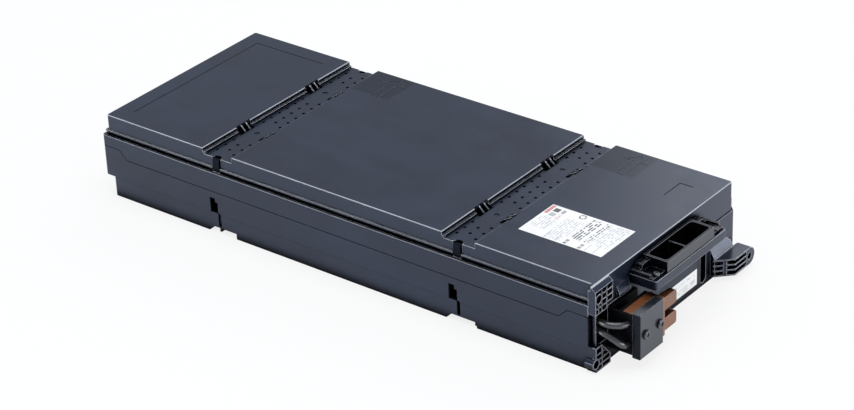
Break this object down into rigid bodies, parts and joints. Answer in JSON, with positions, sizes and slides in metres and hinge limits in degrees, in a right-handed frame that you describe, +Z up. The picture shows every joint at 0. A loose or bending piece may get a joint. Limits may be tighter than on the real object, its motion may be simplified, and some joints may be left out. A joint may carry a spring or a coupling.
{
  "type": "UPS battery cartridge",
  "caption": "Flat black battery cartridge for a rack power supply, with a ribbed clip-on lid, a pull handle, a two-pole connector on short leads and a retaining arm.",
  "frame": {"origin": "centre of the flat underside, halfway along the lid", "axes": "+X towards the end with the handle and connector, +Y towards the side of the retaining arm, +Z up"},
  "size_m": [0.6062, 0.2348, 0.0842],
  "materials": {
    "tray_plastic": "fine satin moulding",
    "lid_plastic": "satin gloss moulding",
    "handle_plastic": "satin gloss",
    "black_screw": "black zinc",
    "connector_brown": "satin moulding",
    "contact_silver": "silver plated copper",
    "cover_plastic": "satin moulding",
    "bracket_plastic": "satin moulding",
    "tab_tin": "tinned",
    "fuse_body": "glazed",
    "link_red": "wire insulation",
    "lead_grey": "silicone wire insulation",
    "strap_sleeve": "heat-shrink sleeve",
    "label_film": "printed film, satin",
    "cell_case": "moulded case",
    "foam_grey": "closed-cell foam"
  },
  "bodies": {
    "root": {"bridge_strap_far": "strap_sleeve", "bridge_strap_near": "strap_sleeve", "cell_front_far": "cell_case", "cell_front_near": "cell_case", "cell_mid_front_far": "cell_case", "cell_mid_front_near": "cell_case", "cell_mid_rear_far": "cell_case", "cell_mid_rear_near": "cell_case", "cell_rear_far": "cell_case", "cell_rear_near": "cell_case", "cell_tabs": "tab_tin", "clamp_screws": "black_screw", "connector_bracket": "bracket_plastic", "connector_contacts": "contact_silver", "connector_cover": "cover_plastic", "connector_housing": "connector_brown", "foam_pads_front": "foam_grey", "foam_pads_middle": "foam_grey", "foam_pads_rear": "foam_grey", "front_label": "label_film", "fused_link": "link_red", "handle_screws": "black_screw", "lid": "lid_plastic", "link_front_far": "link_red", "link_front_near": "link_red", "link_rear_far": "link_red", "link_rear_near": "link_red", "negative_lead": "lead_grey", "positive_lead": "lead_grey", "pull_handle": "handle_plastic", "string_fuse": "fuse_body", "top_label": "label_film", "tray": "tray_plastic"}
  },
  "joints": []
}
